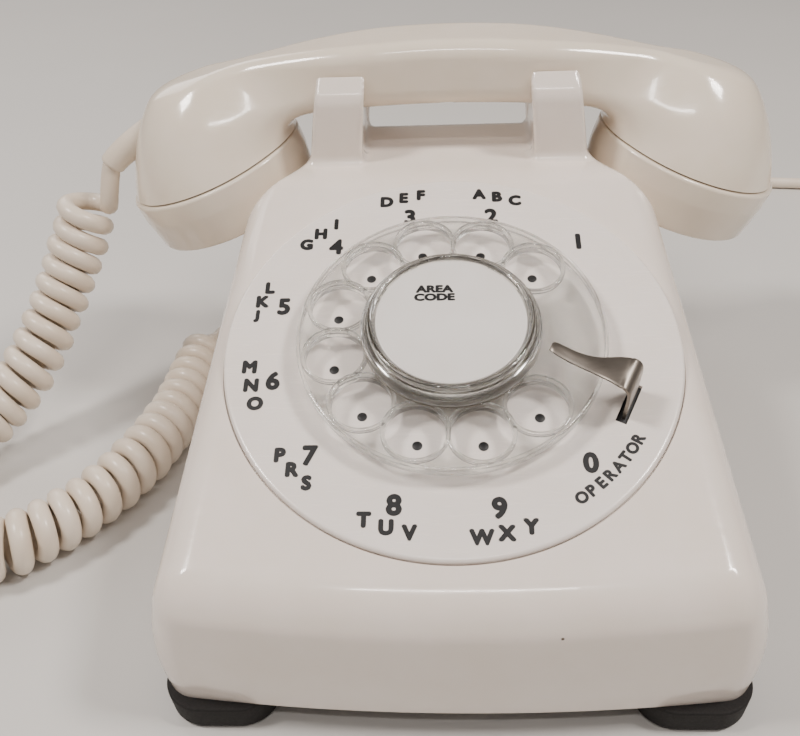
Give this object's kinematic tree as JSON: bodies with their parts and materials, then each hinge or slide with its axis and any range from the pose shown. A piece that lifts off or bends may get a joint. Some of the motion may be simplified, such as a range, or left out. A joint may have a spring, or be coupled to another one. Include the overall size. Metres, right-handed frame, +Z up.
{
  "type": "rotary telephone",
  "caption": "Desk telephone with a sloping rotary dial, a cradle with plungers, a handset on a curly cord, a bell ringer inside and a line cord with its plug.",
  "frame": {"origin": "on the table under the middle of the housing", "axes": "+X to the right of the person dialling, +Y away from that person, +Z up"},
  "size_m": [0.4672, 0.3297, 0.1336],
  "materials": {
    "ivory_housing": "gloss moulded",
    "ivory_handset": "gloss moulded",
    "number_plate_white": "gloss moulded with black numerals",
    "clear_plastic": "clear moulded",
    "card_white": "matt card",
    "polished_steel": "polished",
    "zinc_steel": "zinc plated",
    "black_base": "black enamel",
    "brown_rubber": "moulded",
    "brass": "turned",
    "gong_brass": "polished",
    "coil_tape": "taped winding",
    "black_plastic": "moulded",
    "white_nylon": "moulded",
    "cord_ivory": "satin jacket",
    "clear_plug": "moulded"
  },
  "bodies": {
    "base": {"housing": "ivory_housing", "base_plate": "black_base", "feet": "brown_rubber", "housing_screws": "zinc_steel", "number_plate": "number_plate_white", "finger_stop": "polished_steel", "dial_frame": "zinc_steel", "governor_cup": "brass", "return_spring": "zinc_steel", "pulse_contacts": "black_plastic", "dial_bracket": "zinc_steel", "ringer_frame": "zinc_steel", "ringer_coils": "coil_tape", "low_gong": "gong_brass", "high_gong": "gong_brass", "gong_screws": "zinc_steel", "volume_bracket": "zinc_steel", "network_can": "black_base", "terminal_board": "black_plastic", "terminal_screws": "brass", "hookswitch_bracket": "zinc_steel", "hookswitch_pin": "polished_steel", "hookswitch_contacts": "black_plastic", "handset_cord": "cord_ivory", "handset_cord_grommet": "cord_ivory", "line_cord": "cord_ivory", "line_cord_coil": "cord_ivory", "line_cord_grommet": "cord_ivory", "line_cord_tail": "cord_ivory", "line_plug": "clear_plug"},
    "finger_wheel": {"finger_wheel": "clear_plastic", "hub_ring": "clear_plastic", "card_holder": "polished_steel", "number_card": "card_white", "dial_shaft": "polished_steel", "drive_gear": "brass", "pulse_cam": "black_plastic"},
    "idler": {"idler_gear": "brass"},
    "governor": {"governor_shaft": "polished_steel", "governor_weights": "brass"},
    "clapper": {"clapper": "brass"},
    "volume_wheel": {"volume_wheel": "black_plastic"},
    "hookswitch_lever": {"hookswitch_lever": "zinc_steel"},
    "plungers": {"left_plunger": "white_nylon", "right_plunger": "white_nylon"},
    "handset": {"handset_handle": "ivory_handset", "transmitter_cap": "ivory_handset", "receiver_cap": "ivory_handset", "transmitter_unit": "black_plastic", "receiver_unit": "black_plastic", "transmitter_contacts": "white_nylon", "receiver_contacts": "white_nylon", "handset_strain_relief": "cord_ivory"}
  },
  "joints": [
    {"name": "finger_wheel_turn", "type": "hinge", "parent": "base", "child": "finger_wheel", "pos_m": [0, -0.0345, 0.077], "axis": [0, 0.342, -0.9397], "range_deg": [0, 330], "stiffness_Nm_per_rad": 0.004, "springref_deg": -91.67},
    {"name": "idler_turn", "type": "hinge", "parent": "base", "child": "idler", "pos_m": [-0.02368, -0.0426, 0.07405], "axis": [0, 0.342, -0.9397], "range_deg": [-1651, 1]},
    {"name": "governor_turn", "type": "hinge", "parent": "base", "child": "governor", "pos_m": [-0.01493, -0.05684, 0.06887], "axis": [0, 0.342, -0.9397], "range_deg": [-1, 6601]},
    {"name": "clapper_swing", "type": "hinge", "parent": "base", "child": "clapper", "pos_m": [-0.026, 0.041, 0.025], "axis": [0, 0, 1], "range_deg": [-3, 3], "stiffness_Nm_per_rad": 0.003},
    {"name": "volume_wheel_turn", "type": "hinge", "parent": "base", "child": "volume_wheel", "pos_m": [-0.066, 0.041, 0.017], "axis": [1, 0, 0], "range_deg": [-50, 50]},
    {"name": "handset_lift", "type": "slide", "parent": "base", "child": "handset", "axis": [0, 0, 1], "range_m": [0, 0.12]},
    {"name": "plunger_rise", "type": "slide", "parent": "base", "child": "plungers", "axis": [0, 0, 1], "range_m": [-0.0001, 0.0056]},
    {"name": "hookswitch_lever_rise", "type": "hinge", "parent": "base", "child": "hookswitch_lever", "pos_m": [0, 0.0315, 0.082], "axis": [1, 0, 0], "range_deg": [-0.1, 8.6]}
  ],
  "couplings": [
    {"joint": "idler_turn", "follows": "finger_wheel_turn", "ratio": -5},
    {"joint": "governor_turn", "follows": "finger_wheel_turn", "ratio": 20},
    {"joint": "plunger_rise", "follows": "handset_lift", "ratio": 0.045833},
    {"joint": "hookswitch_lever_rise", "follows": "handset_lift", "rad_per_m": 1.2363}
  ]
}
